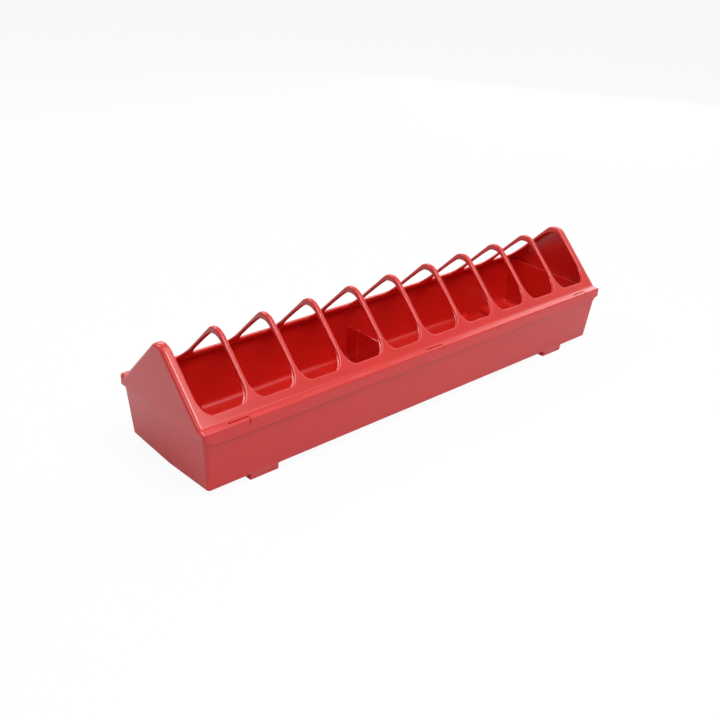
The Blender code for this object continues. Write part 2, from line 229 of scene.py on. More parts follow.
class TroughTubSizes(bpy.types.PropertyGroup):
    """Sizes of the tub"""
    wall: length("Wall", 0.0020, "Thickness of the four walls")
    floor: length("Floor", 0.0016, "Thickness of the floor")
    draft: angle("Draft", 5.0, "How much the walls lean in towards the floor")
    corner_top: length("Upper corner", 0.0045, "Radius of the upright corners at the top")
    corner_base: length("Lower corner", 0.0030, "Radius of the upright corners at the floor")
    keel: length("Keel height", 0.0029, "Height of the floor's lowest line above the ground")
    floor_tilt: angle("Floor tilt", 2.7, "How much the two halves of the floor rise to the walls")
    base_edge: length("Base edge", 0.0022, "Outer radius between walls and floor")
    inner_edge: length("Inner edge", 0.0050, "Inner radius between walls and floor")
    shoulder: length("Shoulder", 0.0518, "Height at which the walls step in under the lid")
    shoulder_height: length("Shoulder height", 0.0018, "Height of that step")
    neck: length("Neck inset", 0.0017, "How far the neck lies inside the walls")
    lip: length("Lip height", 0.0031, "Height of the lip that the lid's beads hold on to")
    lip_depth: length("Lip depth", 0.0008, "How far the lip stands out from the neck")
    top_edge: length("Top edge", 0.0005, "Radius of the edges along the top")
    foot_from_end: length("Foot from end", 0.0614, "Distance of a foot's middle from the lid's end")
    foot_width: length("Foot width", 0.0287, "Width of a foot, seen from the long side")
    foot_wall: length("Foot wall", 0.0020, "Thickness of a foot's walls")
    foot_inset: length("Foot inset", 0.0003, "How far a foot's ends lie inside the long walls")
    foot_edge: length("Foot edge", 0.0008, "Radius of a foot's edges")
    partition: length("Partition wall", 0.0018, "Thickness of the middle partition")
    partition_top: length("Partition top", 0.0405, "Height of the partition's top above the ground")
    boss: length("Boss radius", 0.0020, "Radius of the two bosses on the partition")
    boss_place: length("Boss place", 0.0425, "Distance of a boss from the middle")
    boss_rise: length("Boss rise", 0.0014, "How far a boss stands above the partition")


class TroughLook(bpy.types.PropertyGroup):
    """Colours and finish"""
    body: colour("Plastic", "#D01F17", "Colour of the polypropylene")
    deep: colour("Deep plastic", "#C21912", "Darker shade of the plastic's faint flow pattern")
    floor: colour("Floor", "#F0F3FA", "Colour of the studio floor")
    roughness: bpy.props.FloatProperty(name="Roughness", description="Roughness of the moulded skin",
                                       default=0.26, min=0.0, max=1.0)


# Surfaces as grids of points
def faces_of_grid(rows, columns, start, closed):
    """Quads of a grid of points, counted from start; closed joins the last column to the first."""
    index = np.arange(rows * columns).reshape(rows, columns) + start
    right = np.roll(index, -1, axis=1)
    if not closed:
        index, right = index[:, :-1], right[:, :-1]
    return np.stack([index[:-1], right[:-1], right[1:], index[1:]], axis=-1).reshape(-1, 4)


def mesh_piece(name, grids, caps=()):
    """One object from grids of points, as (array, closed), and flat end faces, as their points.

    Points that coincide are merged, so grids that share a border are joined there.
    """
    points = []
    faces = []
    count = 0
    for grid, closed in grids:
        rows, columns = grid.shape[:2]
        faces += faces_of_grid(rows, columns, count, closed).tolist()
        points.append(grid.reshape(-1, 3))
        count += rows * columns
    for cap in caps:
        faces.append(list(range(count, count + len(cap))))
        points.append(cap)
        count += len(cap)
    mesh = bpy.data.meshes.new(name)
    mesh.from_pydata(np.concatenate(points).tolist(), [], faces)
    bm = bmesh.new()
    bm.from_mesh(mesh)
    bmesh.ops.remove_doubles(bm, verts=bm.verts, dist=MERGE_DISTANCE)
    bmesh.ops.recalc_face_normals(bm, faces=bm.faces)
    bm.to_mesh(mesh)
    bm.free()
    piece = bpy.data.objects.new(name, mesh)
    bpy.context.scene.collection.objects.link(piece)
    return piece


def cut_and_join(piece, steps):
    """Apply Boolean steps (tool, operation) to the piece and remove the tools."""
    for tool, operation in steps:
        modifier = piece.modifiers.new(tool.name, "BOOLEAN")
        modifier.operation = operation
        modifier.solver = "EXACT"
        modifier.object = tool
    bpy.context.view_layer.update()
    evaluated = piece.evaluated_get(bpy.context.evaluated_depsgraph_get())
    mesh = bpy.data.meshes.new_from_object(evaluated)
    piece.modifiers.clear()
    piece.data = mesh
    for tool, _ in steps:
        bpy.data.objects.remove(tool, do_unlink=True)


def finish_piece(piece, node, body, material):
    """Shade the piece, keep its flat faces flat, and let it stand for its CAD node."""
    piece.data.materials.clear()
    piece.data.materials.append(material)
    piece.data.shade_smooth()
    piece.data.set_sharp_from_angle(angle=SHARP_ANGLE)
    modifier = piece.modifiers.new("flat_faces", "WEIGHTED_NORMAL")
    modifier.keep_sharp = True
    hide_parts(node)
    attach(piece, body)


def smooth_step(t):
    """0 below 0, 1 above 1, and a smooth S between them."""
    t = np.clip(t, 0.0, 1.0)
    return t * t * (3 - 2 * t)


def spread(start, end, steps):
    """Evenly spaced values with both ends; start and end may be columns, one row of values each."""
    return start + (end - start) * np.linspace(0.0, 1.0, steps + 1)


def level_rows(x, y, height):
    """Grid of points from plan coordinates and one height a row."""
    return np.stack([x, y, np.repeat(height, x.shape[1], axis=1)], axis=-1)


# The lid
class Skin:
    """One skin of the lid: its distances under the outer faces, and its radii."""

    def __init__(self, sizes, inside):
        self.sizes = sizes
        self.inside = inside
        self.rim_drop = sizes.wall if inside else 0.0
        self.band_drop = sizes.band_wall if inside else 0.0
        self.hoop_drop = sizes.hoop_depth if inside else 0.0
        self.rim_edge = sizes.inner_edge if inside else sizes.rim_edge
        self.crease = sizes.crease + self.rim_drop
        self.end_edge = sizes.end_edge - self.rim_drop
        crease_y = HALF_WIDTH - sizes.rim_strip
        self.roof_zero = (sizes.rim_top + sizes.rim_strip * math.tan(sizes.rim_tilt)
                          + crease_y * math.tan(sizes.roof_angle))

    def roof(self, y, inset):
        """Height over y: two lines with the roof's slope, lowered by the skin's depth and the inset.

        The band's thickness turns into the hoops' by a smooth S. Outside, an arc joins the lines
        over the ridge. Inside, they run into a soft crown: the fall from their apex is a power mean
        of the line's own fall and of the crown's depth.
        """
        slope = self.sizes.roof_angle
        reach = HALF_WIDTH - self.sizes.band - np.abs(y)
        hoop_share = smooth_step(reach / HOOP_RUN)
        drop = inset + self.band_drop + (self.hoop_drop - self.band_drop) * hoop_share
        apex = self.roof_zero - drop / math.cos(slope)
        fall = np.abs(y) * math.tan(slope)
        if self.inside:
            arch = (self.sizes.ridge * (1 / math.cos(slope) - 1) + self.sizes.crown
                    - self.hoop_drop / math.cos(slope))
            return apex - (fall ** CROWN_POWER + arch ** CROWN_POWER) ** (1 / CROWN_POWER)
        radius = self.sizes.ridge - inset
        centre = self.roof_zero - self.sizes.ridge / math.cos(slope)
        arc = centre + np.sqrt(np.maximum(radius ** 2 - y ** 2, 0.0))
        return np.where(np.abs(y) < radius * math.sin(slope), arc, apex - fall)

    def rim(self, y, inset):
        """Height of the rim's face, a line that rises gently from the lid's side."""
        tilt = self.sizes.rim_tilt
        return (self.sizes.rim_top + (HALF_WIDTH - y) * math.tan(tilt)
                - (self.rim_drop + inset) / math.cos(tilt))

    def side(self, inset, bottom):
        """Section from the skirt's bottom to the foot of the roof, as columns of y and z.

        A straight skirt, an arc round the edge, the rim's line, and an arc in the crease that
        touches both the rim's line and the roof's. The inset is a column, one row of points each.
        """
        tilt, slope = self.sizes.rim_tilt, self.sizes.roof_angle
        skirt_y = HALF_WIDTH - self.rim_drop - inset
        edge = np.maximum(self.rim_edge - inset, LEAST_RADIUS)
        edge_y = skirt_y - edge
        edge_z = self.rim(edge_y, inset) - edge / math.cos(tilt)
        turn = np.linspace(0.0, math.pi / 2 - tilt, RIM_EDGE_POINTS)
        meet_y = (self.roof_zero - (self.band_drop + inset) / math.cos(slope)
                  - self.rim(0.0, inset)) / (math.tan(slope) - math.tan(tilt))
        radius = self.crease + inset
        foot_y = meet_y + radius * math.tan((slope - tilt) / 2) * math.cos(tilt)
        foot_z = self.rim(foot_y, inset)
        bend = np.linspace(tilt, slope, CREASE_POINTS)
        flat_y = spread(edge_y + edge * math.cos(turn[-1]), foot_y, RIM_STEPS)[:, 1:-1]
        y = [
            np.repeat(skirt_y, SKIRT_ROWS, axis=1),
            edge_y + edge * np.cos(turn),
            flat_y,
            foot_y + radius * math.sin(tilt) - radius * np.sin(bend),
        ]
        z = [
            spread(bottom, edge_z, SKIRT_ROWS)[:, :-1],
            edge_z + edge * np.sin(turn),
            self.rim(flat_y, inset),
            foot_z + radius * math.cos(tilt) - radius * np.cos(bend),
        ]
        return np.concatenate(y, axis=1), np.concatenate(z, axis=1)


def bay_plan(sizes):
    """Pitch of the bays, half sizes of an opening, and the y of the points along its straight side.

    These lie closer together over the ridge.
    """
    pitch = (2 * HALF_LENGTH - 2 * sizes.end_flange + sizes.hoop_width) / sizes.bays
    half_x = (pitch - sizes.hoop_width) / 2
    half_y = HALF_WIDTH - sizes.band
    ridge_y = sizes.ridge * np.sin(np.linspace(0.0, sizes.roof_angle, RIDGE_POINTS))
    slope_y = spread(ridge_y[-1], half_y - sizes.bay_flare, SLOPE_STEPS)[1:]
    return pitch, half_x, half_y, np.concatenate([ridge_y, slope_y])


def rounded_ring(sizes, low_x, high_x, taper):
    """Opening's edge, its outward direction and the cell's border, point by point round the bay.

    The opening is a rectangle with elliptical corners, seen from above. Each quarter runs from the
    middle of its side to the middle of its front: the straight side, the corner's arc, the
    straight front. Half of the arc's points go to the side of the cell's border, half to its front.
    """
    _, half_x, half_y, side_y = bay_plan(sizes)
    border_y = half_y + CELL_MARGIN
    reach_x, reach_y = sizes.bay_corner + taper, sizes.bay_flare + taper
    turn = np.linspace(0.0, math.pi / 2, CORNER_POINTS + 1)[1:]
    half = CORNER_POINTS // 2
    edge_y = side_y * (half_y - reach_y) / side_y[-1]
    front_x = spread(half_x - sizes.bay_corner, 0.0, FRONT_STEPS)[1:]
    front_edge = front_x * (half_x - reach_x) / (half_x - sizes.bay_corner)
    slant = np.hypot(np.cos(turn) / reach_x, np.sin(turn) / reach_y)
    edge = []
    out = []
    border = []
    for sign_x, sign_y, flip in ((1, 1, False), (-1, 1, True), (-1, -1, False), (1, -1, True)):
        far = high_x if sign_x > 0 else -low_x
        x = [np.full_like(side_y, half_x), half_x - reach_x + reach_x * np.cos(turn), front_edge]
        y = [edge_y, half_y - reach_y + reach_y * np.sin(turn), np.full_like(front_x, half_y)]
        out_x = [np.ones_like(side_y), np.cos(turn) / reach_x / slant, np.zeros_like(front_x)]
        out_y = [np.zeros_like(side_y), np.sin(turn) / reach_y / slant, np.ones_like(front_x)]
        border_x = [np.full_like(side_y, far), np.full(half, far),
                    spread(far, half_x - sizes.bay_corner, half)[1:], front_x]
        cell_y = [side_y, spread(side_y[-1], border_y, half)[1:], np.full(half, border_y),
                  np.full_like(front_x, border_y)]
        for rows, u, v in ((edge, x, y), (out, out_x, out_y), (border, border_x, cell_y)):
            quarter = np.stack([sign_x * np.concatenate(u), sign_y * np.concatenate(v)], axis=-1)
            rows.append(quarter[::-1][:-1] if flip else quarter[:-1])
    return [np.concatenate(rows) for rows in (edge, out, border)]


def bay_cell(sizes, centre, low_x, high_x, outer, inner):
    """One bay with the roof round it, as a closed ring of rows that goes over the edge and under.

    Rows run on the outer skin from the cell's border to the opening, round the edge by an arc, down
    the upright wall, round the inner edge and back to the border on the inner skin. An arc's fall
    is upright, so towards the slopes it grows by one over the cosine of the roof's angle.
    """
    steep = 1 / math.cos(sizes.roof_angle)
    ridge_end = sizes.ridge * math.sin(sizes.roof_angle)
    halves = []
    for skin, radius, taper, count, sign in (
            (outer, sizes.hoop_edge, 0.0, HOOP_EDGE_POINTS, 1),
            (inner, sizes.inner_edge, sizes.corner_taper, INNER_EDGE_POINTS, -1)):
        edge, out, border = rounded_ring(sizes, low_x - centre, high_x - centre, taper)
        near = edge + out * (radius + EDGE_MARGIN)
        flat = border + (near - border) * np.linspace(0.0, 1.0, CELL_ROWS)[:, None, None]
        turn = np.linspace(0.0, math.pi / 2, count)[:, None, None]
        curl = edge + out * radius * (1 - np.sin(turn))
        slope_share = np.minimum(np.abs(curl[:, :, 1]) / ridge_end, 1.0)
        fall = radius * (1 + (steep - 1) * slope_share) * (1 - np.cos(turn[:, :, 0]))
        plan = np.concatenate([flat, curl])
        drop = np.concatenate([np.zeros(flat.shape[:2]), fall])
        height = skin.roof(plan[:, :, 1], 0.0) - sign * drop
        halves.append(np.concatenate([plan, height[:, :, None]], axis=-1)[::sign])
    top, under = halves
    share = np.linspace(0.0, 1.0, BAY_WALL_POINTS)[1:-1, None, None]
    ring = np.concatenate([top, top[-1] + (under[0] - top[-1]) * share, under])
    ring[:, :, 0] += centre
    return ring


def bay_cells(sizes, outer, inner):
    """The cells of all the bays, and the x of the points along their front borders.

    The border points come from the same rings as the cells, so the grids beside them fit.
    """
    pitch, _, half_y, _ = bay_plan(sizes)
    flat_end = HALF_LENGTH - sizes.end_edge
    cells = []
    border_x = []
    for index in range(sizes.bays):
        centre = (index - (sizes.bays - 1) / 2) * pitch
        low = -flat_end if index == 0 else centre - pitch / 2
        high = flat_end if index == sizes.bays - 1 else centre + pitch / 2
        cells.append((bay_cell(sizes, centre, low, high, outer, inner), True))
        border = rounded_ring(sizes, low - centre, high - centre, 0.0)[2]
        front = border[:, 1] > half_y + CELL_MARGIN - MERGE_DISTANCE
        border_x.append(centre + border[front, 0])
    return cells, np.unique(np.round(np.concatenate(border_x), SAME_DECIMALS))


def skirt_bottom(sizes, x):
    """Height of the skirt's bottom: one level along the sides, a higher one round the ends."""
    inner = HALF_LENGTH - sizes.end_reach
    rise = sizes.end_rise * smooth_step((np.abs(x) - inner) / sizes.end_rise)
    return SKIRT_BOTTOM + LIP_RADIUS + rise


def skin_grids(sizes, skin, middle_x):
    """Grids of one skin round the cells, and the loop of points along its skirt's bottom.

    The two sides are the skin's section at every x. At the ends an arc turns the sides and the roof
    into the gable: x goes out with its sine, and the inset of all faces grows with one less its
    cosine. A gable's rows are its outline, drawn down in straight steps to the skirt's bottom.
    """
    _, _, half_y, side_y = bay_plan(sizes)
    border_y = half_y + CELL_MARGIN
    flat_end = HALF_LENGTH - sizes.end_edge
    pull = math.sin(sizes.roof_angle)
    roof_y = np.concatenate([side_y, spread(side_y[-1], border_y, CORNER_POINTS // 2)[1:]])
    roof_y = np.concatenate([-roof_y[::-1], roof_y[1:]])
    turn = np.linspace(0.0, math.pi / 2, END_STEPS + 1)[1:]
    end_x = flat_end + skin.end_edge * np.sin(turn)
    end_inset = skin.end_edge * (1 - np.cos(turn))
    x = np.concatenate([-end_x[::-1], middle_x, end_x])
    inset = np.concatenate([end_inset[::-1], np.zeros_like(middle_x), end_inset])[:, None]
    y, z = skin.side(inset, skirt_bottom(sizes, x)[:, None])
    last_y = border_y - inset * pull
    y = np.concatenate([y, last_y], axis=1)
    z = np.concatenate([z, skin.roof(last_y, inset)], axis=1)
    x_grid = np.repeat(x[:, None], y.shape[1], axis=1)
    grids = [(np.stack([x_grid, side * y, z], axis=-1), False) for side in (1, -1)]

    roof_inset = np.concatenate([[0.0], end_inset])[:, None]
    roof_rows = roof_y * (1 - roof_inset * pull / border_y)
    roof_x = np.repeat(np.concatenate([[flat_end], end_x])[:, None], len(roof_y), axis=1)
    roof_z = skin.roof(roof_rows, roof_inset)
    edge_y, edge_z = y[-1, SKIRT_ROWS:], z[-1, SKIRT_ROWS:]
    top_y = np.concatenate([edge_y, roof_rows[-1, ::-1][1:-1], -edge_y[::-1]])
    top_z = np.concatenate([edge_z, roof_z[-1, ::-1][1:-1], edge_z[::-1]])
    bottom = z[-1, 0]
    share = ((z[-1, :SKIRT_ROWS + 1] - bottom) / (z[-1, SKIRT_ROWS] - bottom))[:, None]
    gable_z = bottom + (top_z - bottom) * share
    gable_y = np.repeat(top_y[None], len(share), axis=0)
    for end in (1, -1):
        grids.append((np.stack([end * roof_x, roof_rows, roof_z], axis=-1), False))
        gable_x = np.full_like(gable_y, end * x[-1])
        grids.append((np.stack([gable_x, gable_y, gable_z], axis=-1), False))

    front = np.stack([x, y[:, 0], z[:, 0]], axis=-1)[:-1]
    gable = np.stack([np.full_like(top_y, x[-1]), top_y, np.full_like(top_y, bottom)], axis=-1)[:-1]
    half_turn = np.array([-1.0, -1.0, 1.0])
    return grids, np.concatenate([front, gable, front * half_turn, gable * half_turn])


def lid_grids(sizes):
    """All the grids of the lid: its cells, its two skins, and the half round that joins them below."""
    outer, inner = Skin(sizes, False), Skin(sizes, True)
    cells, middle_x = bay_cells(sizes, outer, inner)
    outer_grids, outer_loop = skin_grids(sizes, outer, middle_x)
    inner_grids, inner_loop = skin_grids(sizes, inner, middle_x)
    turn = np.linspace(0.0, math.pi, LIP_POINTS)[:, None, None]
    lip = outer_loop + (inner_loop - outer_loop) * (1 - np.cos(turn)) / 2
    lip[:, :, 2:] -= LIP_RADIUS * np.sin(turn)
    return cells + outer_grids + inner_grids + [(lip, True)]


def prism(name, outline, low, high, axis):
    """Closed prism from an outline of (u, v) points, carried along an axis from low to high."""
    outline = np.asarray(outline)
    ring = np.stack([np.insert(outline, axis, w, axis=1) for w in (low, high)])
    return mesh_piece(name, [(ring, True)], [ring[0], ring[1]])


def tab_tools(sizes, tabs):
    """The L-shaped cutters of the tabs, and the beads inside the skirt, as (tool, operation).

    A cutter is the plan of slot and slit, carried upright. A bead is its section with a slanted
    underside, carried along the skirt.
    """
    slot_inner = HALF_WIDTH - tabs.slot_inset - tabs.slot_width / 2
    slot_outer = slot_inner + tabs.slot_width
    beyond = HALF_WIDTH + CUT_REACH
    cut_low, cut_high = sizes.rim_top - tabs.slit_depth, sizes.rim_top + CUT_REACH
    root = HALF_WIDTH - sizes.wall / 2
    face = HALF_WIDTH - sizes.wall
    tip = face - tabs.bead_depth
    low, top = tabs.bead_top - tabs.bead_height, tabs.bead_top
    section = [(root, low), (face, low), (tip, top - tabs.bead_depth), (tip, top), (root, top)]
    steps = []
    for number, centre in enumerate((tabs.from_end - HALF_LENGTH, 0.0, HALF_LENGTH - tabs.from_end)):
        start, end = centre - tabs.slot / 2, centre + tabs.slot / 2
        slit = end - tabs.slit_width
        outline = [(start, slot_inner), (end, slot_inner), (end, beyond), (slit, beyond),
                   (slit, slot_outer), (start, slot_outer)]
        for side in (1, -1):
            plan = [(x, side * y) for x, y in outline]
            cutter = prism(f"slot_{number}_{side}", plan, cut_low, cut_high, 2)
            steps.append((cutter, "DIFFERENCE"))
            ends = centre - tabs.bead / 2, centre + tabs.bead / 2
            bead = prism(f"bead_{number}_{side}", [(side * y, z) for y, z in section], *ends, 0)
            steps.append((bead, "UNION"))
    return steps


# The tub
def plan_ring(half_x, half_y, radius, steps):
    """Rounded rectangle seen from above, with a point at the middle of each end for the keel.

    The sizes are columns, one row of points each.
    """
    turn = np.linspace(0.0, math.pi / 2, steps + 1)
    middle = np.zeros_like(half_x)
    x = [half_x]
    y = [middle]
    for quarter, (sign_x, sign_y) in enumerate(((1, 1), (-1, 1), (-1, -1), (1, -1))):
        if quarter == 2:
            x.append(-half_x)
            y.append(middle)
        angles = turn + quarter * math.pi / 2
        x.append(sign_x * (half_x - radius) + radius * np.cos(angles))
        y.append(sign_y * (half_y - radius) + radius * np.sin(angles))
    return np.concatenate(x, axis=1), np.concatenate(y, axis=1)


def keel_caps(ring):
    """Two flat polygons that close a ring of the V-shaped floor along its keel."""
    far = len(ring) // 2
    return [ring[:far + 1], np.concatenate([ring[far:], ring[:1]])]


def underside(sizes, y):
    """Height of the floor's underside over y: two lines that rise from the keel."""
    return sizes.keel + np.abs(y) * math.tan(sizes.floor_tilt)


def lean(sizes, height):
    """How far the walls stand in at a height: the draft's slope, below the shoulder only."""
    return np.maximum(sizes.shoulder - height, 0.0) * math.tan(sizes.draft)


def tub_skin(name, sizes, wall, lift, edge, upper):
    """Closed solid of the tub's outer or inner skin.

    Its rows are rounded rectangles. An arc leads from the floor, a shallow V, to the walls, which
    lean in by the draft; the rows above follow as (height, inset) pairs.
    """
    turn = np.linspace(0.0, math.pi / 2, BASE_EDGE_POINTS)
    upper_height, upper_inset = np.array(upper).T
    floor_rows = lift + edge * (1 - np.cos(turn))
    height = np.concatenate([underside(sizes, TUB_HALF_WIDTH) + floor_rows, upper_height])[:, None]
    inset = np.concatenate([wall + edge * (1 - np.sin(turn)), wall + upper_inset])[:, None]
    share = np.clip(height / sizes.shoulder, 0.0, 1.0)
    corner = sizes.corner_base + (sizes.corner_top - sizes.corner_base) * share - inset
    corner = np.maximum(corner, sizes.corner_base * LEAST_CORNER)
    stand_in = lean(sizes, height) + inset
    x, y = plan_ring(TUB_HALF_LENGTH - stand_in, TUB_HALF_WIDTH - stand_in, corner, TUB_CORNER_STEPS)
    rows = level_rows(x, y, height)
    count = len(floor_rows)
    rows[:count, :, 2] = underside(sizes, y[:count]) + floor_rows[:, None]
    return mesh_piece(name, [(rows, True)], keel_caps(rows[0]) + [rows[-1]])


def tub_outside(sizes):
    """Outer skin: floor, walls, shoulder, neck and lip, each edge eased by a small slant or arc."""
    neck = sizes.neck
    lip = neck - sizes.lip_depth
    lip_low = TUB_TOP - sizes.lip
    shoulder = sizes.shoulder
    ease = sizes.top_edge
    upper = [
        (shoulder - SHOULDER_LEAD, 0.0),
        (shoulder - SHOULDER_EASE, SHOULDER_EASE / 10),
        (shoulder + SHOULDER_EASE, SHOULDER_EASE),
        (shoulder + sizes.shoulder_height, neck),
        (lip_low, neck),
        (lip_low, lip + SHOULDER_EASE / 2),
        (lip_low + SHOULDER_EASE, lip),
        (TUB_TOP - ease, lip),
        (TUB_TOP - ARC_MIDDLE * ease, lip + ARC_MIDDLE * ease),
        (TUB_TOP, lip + ease),
    ]
    return tub_skin("tub_moulding", sizes, 0.0, 0.0, sizes.base_edge, upper)


def tub_hollow(sizes):
    """The space inside the tub, carried up past its top, with the top's inner edge eased.

    The wall grows thicker towards the neck by a smooth S, so that no step shows inside.
    """
    neck = sizes.neck
    ease = sizes.top_edge
    full = sizes.shoulder + sizes.shoulder_height
    low = NECK_START * full
    heights = np.linspace(low, full, NECK_ROWS)
    upper = [
        *zip(heights, neck * smooth_step((heights - low) / (full - low))),
        (TUB_TOP - ease, neck),
        (TUB_TOP - ARC_MIDDLE * ease, neck - ARC_MIDDLE * ease),
        (TUB_TOP, neck - ease),
        (TUB_TOP + HOLLOW_REACH, neck - ease),
    ]
    return tub_skin("tub_hollow", sizes, sizes.wall, sizes.floor, sizes.inner_edge, upper)


def foot_solid(name, sizes, centre, wall, end_inset, top):
    """Rounded box across the tub: a foot, or its hollow, which lies a wall's thickness inside it.

    Its rows are rounded rectangles, the bottom edges eased by an arc. Its ends lean with the long
    walls and lie the end's inset inside them.
    """
    turn = np.linspace(0.0, math.pi / 2, FOOT_EDGE_POINTS)
    height = np.concatenate([wall + sizes.foot_edge * (1 - np.cos(turn)), [top]])[:, None]
    inset = np.concatenate([sizes.foot_edge * (1 - np.sin(turn)), [0.0]])[:, None]
    half_x = sizes.foot_width / 2 - wall - inset
    half_y = TUB_HALF_WIDTH - lean(sizes, height) - end_inset - inset
    corner = np.full_like(height, sizes.foot_edge)
    x, y = plan_ring(half_x, half_y, corner, FOOT_CORNER_STEPS)
    rows = level_rows(x + centre, y, height)
    return mesh_piece(f"{name}_{centre:.3f}", [(rows, True)], [rows[0], rows[-1]])


def foot_block(sizes, centre):
    """Outside of a cross-foot, from the ground up into the tub's floor."""
    top = underside(sizes, TUB_HALF_WIDTH) + sizes.base_edge
    return foot_solid("foot", sizes, centre, 0.0, sizes.foot_inset, top)


def foot_channel(sizes, centre):
    """Hollow of a cross-foot, open to the inside of the tub and flush with the long walls' insides."""
    top = underside(sizes, TUB_HALF_WIDTH) + sizes.floor + sizes.inner_edge
    return foot_solid("channel", sizes, centre, sizes.foot_wall, sizes.wall + CHANNEL_GAP, top)


def partition(sizes):
    """Plate across the tub: one outline carried along X, its top lowered by a half round.

    The outline follows the floor's V and the leaning walls, half a wall's thickness deep in them.
    """
    root = sizes.wall / 2
    half_floor = sizes.floor / 2
    turn = np.linspace(-math.pi / 2, math.pi / 2, PARTITION_TOP_POINTS)
    x = sizes.partition / 2 * np.sin(turn)
    top = sizes.partition_top - sizes.partition / 2 * (1 - np.cos(turn))
    wall_z = underside(sizes, TUB_HALF_WIDTH) + sizes.base_edge + root
    shoulder_z = top.min() - root
    wall_y = TUB_HALF_WIDTH - lean(sizes, wall_z) - root
    top_y = TUB_HALF_WIDTH - lean(sizes, shoulder_z) - root
    base_y = wall_y - sizes.base_edge
    half_y = np.array([base_y, wall_y, top_y, top_y])
    outline_y = np.concatenate([[0.0], half_y, -half_y[::-1]])
    levels = [underside(sizes, base_y) + half_floor, wall_z, shoulder_z]
    half_z = np.column_stack([np.full_like(x, level) for level in levels] + [top])
    keel_z = np.full((len(x), 1), underside(sizes, 0.0) + half_floor)
    z = np.concatenate([keel_z, half_z, half_z[:, ::-1]], axis=1)
    x_grid, y_grid = np.broadcast_arrays(x[:, None], outline_y)
    rows = np.stack([x_grid, y_grid, z], axis=-1)
    return mesh_piece("partition", [(rows, True)], [rows[0], rows[-1]])


def boss(sizes, centre_y):
    """Round boss on the partition: circles from the floor up, its top eased by an arc."""
    turn = np.linspace(0.0, math.pi / 2, BOSS_EDGE_POINTS)[:, None]
    foot = underside(sizes, centre_y) + sizes.floor / 2
    ease = sizes.boss * BOSS_EASE
    top = sizes.partition_top + sizes.boss_rise
    height = np.concatenate([[[foot]], top - ease + ease * np.sin(turn)])
    radius = np.concatenate([[[sizes.boss]], sizes.boss - ease * (1 - np.cos(turn))])
    around = np.linspace(0.0, 2 * math.pi, BOSS_SIDES + 1)[:-1]
    rows = level_rows(radius * np.cos(around), centre_y + radius * np.sin(around), height)
    return mesh_piece(f"boss_{centre_y:.3f}", [(rows, True)], [rows[0], rows[-1]])


# Materials
def add(tree, kind, inputs=None, **settings):
    """Add a node with its settings, and with its inputs set to values or linked to sockets."""
    node = tree.nodes.new(kind)
    for key, value in settings.items():
        setattr(node, key, value)
    for key, value in (inputs or {}).items():
        if isinstance(value, bpy.types.NodeSocket):
            tree.links.new(value, node.inputs[key])
        else:
            node.inputs[key].default_value = value
    return node


def polypropylene(name, look):
    """Injection-moulded polypropylene: saturated pigment under a satin skin.

    The melt's flow leaves faint clouds of a deeper shade, 25 mm wide. The mould's fine texture,
    drawn at 0.6 mm so that it shows, breaks the gloss a little, and shrinkage leaves the flats
    very slightly wavy, at about 30 mm.
    """
    material = bpy.data.materials.new(name)
    material.use_nodes = True
    tree = material.node_tree
    tree.nodes.clear()
    place = add(tree, "ShaderNodeTexCoord").outputs["Object"]
    flow_place = add(tree, "ShaderNodeMapping", {"Vector": place, "Scale": FLOW_STRETCH}).outputs[0]
    flow = add(tree, "ShaderNodeTexNoise", {
        "Vector": flow_place, "Scale": 1 / FLOW_SIZE, "Detail": 3.0}).outputs["Fac"]
    grain = add(tree, "ShaderNodeTexNoise", {
        "Vector": place, "Scale": 1 / GRAIN_SIZE, "Detail": 2.0}).outputs["Fac"]
    wave = add(tree, "ShaderNodeTexNoise", {
        "Vector": place, "Scale": 1 / WAVE_SIZE, "Detail": 1.0}).outputs["Fac"]
    # Sockets 6 and 7 are the two colours that the node mixes, and output 2 is their mix
    tone = add(tree, "ShaderNodeMix", {"Factor": flow, 6: look.deep, 7: look.body}, data_type="RGBA")
    wavy = add(tree, "ShaderNodeBump", {
        "Height": wave, "Strength": WAVE_STRENGTH, "Distance": WAVE_DEPTH})
    fine = add(tree, "ShaderNodeBump", {
        "Height": grain, "Strength": GRAIN_STRENGTH, "Distance": GRAIN_DEPTH,
        "Normal": wavy.outputs[0]})
    gloss = add(tree, "ShaderNodeMapRange", {
        "Value": flow,
        "To Min": look.roughness - GLOSS_SPREAD, "To Max": look.roughness + GLOSS_SPREAD})
    shader = add(tree, "ShaderNodeBsdfPrincipled", {
        "Base Color": tone.outputs[2], "Roughness": gloss.outputs[0], "Normal": fine.outputs[0],
        "IOR": PLASTIC_IOR})
    add(tree, "ShaderNodeOutputMaterial", {"Surface": shader.outputs[0]})
    return material


def seen_directly(tree, glossy):
    """1 for rays from the camera or through glass, a share for reflections, 0 for all other light."""
    rays = add(tree, "ShaderNodeLightPath").outputs
    reflected = add(tree, "ShaderNodeMath", {0: rays["Is Glossy Ray"], 1: glossy}, operation="MULTIPLY")
    direct = add(tree, "ShaderNodeMath", {0: rays["Is Camera Ray"], 1: rays["Is Transmission Ray"]},
                 operation="MAXIMUM")
    either = add(tree, "ShaderNodeMath", {0: direct.outputs[0], 1: reflected.outputs[0]},
                 operation="MAXIMUM")
    return either.outputs[0]


